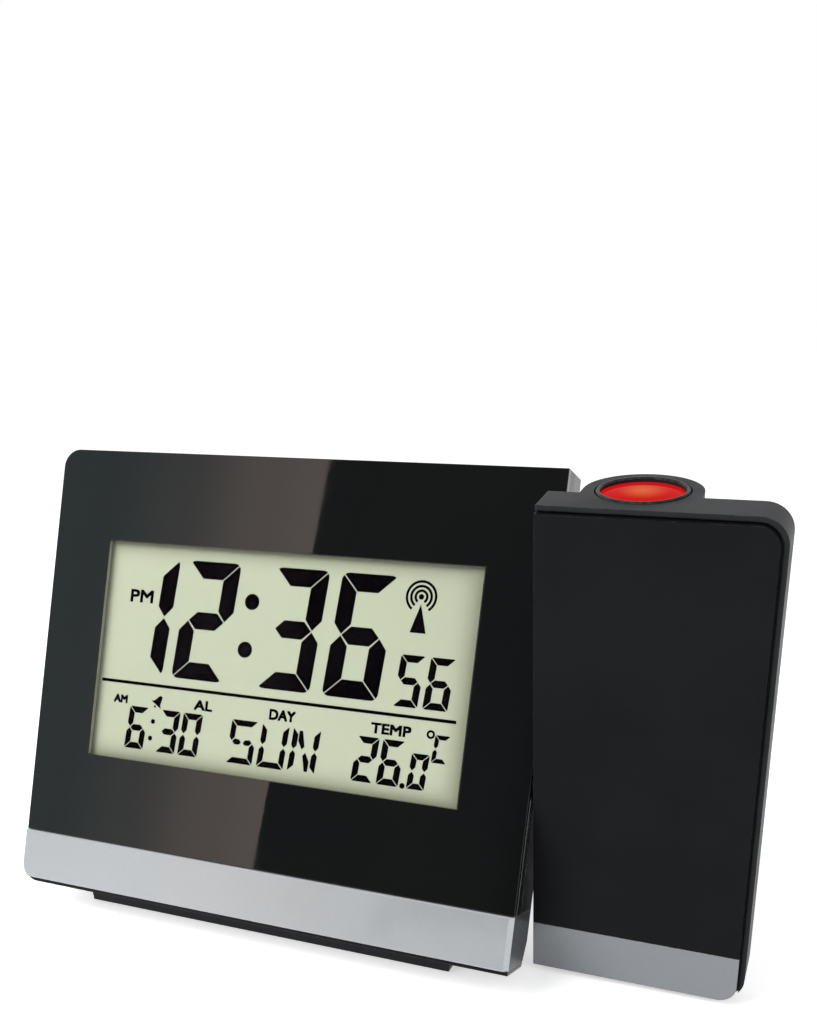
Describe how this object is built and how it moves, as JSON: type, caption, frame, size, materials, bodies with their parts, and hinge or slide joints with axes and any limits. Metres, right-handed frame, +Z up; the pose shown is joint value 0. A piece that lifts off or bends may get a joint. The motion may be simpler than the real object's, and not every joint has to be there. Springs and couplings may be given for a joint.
{
  "type": "projection alarm clock",
  "caption": "Leaning radio-controlled desk alarm clock with a large display and a tilting projector arm at its right end.",
  "frame": {"origin": "centre of the foot's print on the table", "axes": "+X to the projector arm's end, -Y out of the display, +Z up"},
  "size_m": [0.1601, 0.0411, 0.1029],
  "materials": {
    "case_black": "satin moulded",
    "panel_black": "polished",
    "window_clear": "clear",
    "lcd_green": "display glass with a pale green reflector",
    "guide_white": "diffusing",
    "strip_pink": "conductive elastomer",
    "band_silver": "brushed",
    "board_green": "solder resist",
    "chip_black": "cured resin",
    "steel": "zinc plated",
    "cell_wrap": "printed sleeve",
    "ferrite": "sintered",
    "copper": "enamelled wire",
    "rubber_black": "matt",
    "lens_clear": "polished",
    "led_red": "tinted",
    "lead_grey": "sleeved",
    "key_grey": "satin"
  },
  "bodies": {
    "case": {"front_case": "case_black", "front_panel": "panel_black", "display_window": "window_clear", "trim_band": "band_silver", "lcd_glass": "lcd_green", "light_guide": "guide_white", "contact_strips": "strip_pink", "lcd_frame": "guide_white", "main_board": "board_green", "board_screws": "steel", "rear_case": "case_black", "case_screws": "steel", "battery_cells": "cell_wrap", "plate_contacts": "steel", "spring_contacts": "steel", "antenna_rod": "ferrite", "antenna_coil": "copper", "controller_chip": "chip_black", "receiver_board": "board_green", "buzzer": "chip_black", "dc_jack": "chip_black", "temperature_sensor": "chip_black", "key_switches": "chip_black", "slide_switch_body": "steel", "foot_base": "case_black", "grip_pad": "rubber_black", "foot_screws": "steel", "case_socket": "guide_white"},
    "arm": {"arm_shell": "case_black", "arm_panel": "case_black", "arm_band": "band_silver", "arm_screws": "steel", "pivot_axle": "steel", "friction_washer": "steel", "retaining_ring": "steel", "lead_bundle": "lead_grey", "projector_board": "board_green", "projector_socket": "guide_white", "lamp_board": "board_green", "projector_led": "led_red", "optics_tube": "case_black", "condenser_lens": "lens_clear", "projector_lcd": "lcd_green"},
    "focus": {"focus_ring": "case_black", "projection_lens": "lens_clear"},
    "battery_door": {"battery_door": "case_black"},
    "snooze_bar": {"snooze_bar": "key_grey"},
    "projection_switch": {"projection_switch": "key_grey"},
    "mode_key": {"mode_key": "key_grey"},
    "set_key": {"set_key": "key_grey"},
    "up_key": {"up_key": "key_grey"},
    "down_key": {"down_key": "key_grey"},
    "alarm_key": {"alarm_key": "key_grey"},
    "wave_key": {"wave_key": "key_grey"}
  },
  "joints": [
    {"name": "arm_pivot", "type": "hinge", "parent": "case", "child": "arm", "pos_m": [0.0592, -0.00131, 0.04163], "axis": [1, 0, 0], "range_deg": [-100, 80]},
    {"name": "focus_turn", "type": "hinge", "parent": "arm", "child": "focus", "pos_m": [0.0755, -0.01086, 0.10128], "axis": [0, -0.1736, 0.9848], "range_deg": [-60, 60]},
    {"name": "door_lift", "type": "slide", "parent": "case", "child": "battery_door", "axis": [0, 0.9563, -0.2924], "range_m": [0, 0.02]},
    {"name": "snooze_press", "type": "slide", "parent": "case", "child": "snooze_bar", "axis": [0, -0.2924, -0.9563], "range_m": [0, 0.0007], "stiffness_N_per_m": 400},
    {"name": "projection_slide", "type": "slide", "parent": "case", "child": "projection_switch", "axis": [1, 0, 0], "range_m": [0, 0.003]},
    {"name": "mode_key_press", "type": "slide", "parent": "case", "child": "mode_key", "axis": [0, -0.9563, 0.2924], "range_m": [0, 0.0006], "stiffness_N_per_m": 300},
    {"name": "set_key_press", "type": "slide", "parent": "case", "child": "set_key", "axis": [0, -0.9563, 0.2924], "range_m": [0, 0.0006], "stiffness_N_per_m": 300},
    {"name": "up_key_press", "type": "slide", "parent": "case", "child": "up_key", "axis": [0, -0.9563, 0.2924], "range_m": [0, 0.0006], "stiffness_N_per_m": 300},
    {"name": "down_key_press", "type": "slide", "parent": "case", "child": "down_key", "axis": [0, -0.9563, 0.2924], "range_m": [0, 0.0006], "stiffness_N_per_m": 300},
    {"name": "alarm_key_press", "type": "slide", "parent": "case", "child": "alarm_key", "axis": [0, -0.9563, 0.2924], "range_m": [0, 0.0006], "stiffness_N_per_m": 300},
    {"name": "wave_key_press", "type": "slide", "parent": "case", "child": "wave_key", "axis": [0, -0.9563, 0.2924], "range_m": [0, 0.0006], "stiffness_N_per_m": 300}
  ]
}
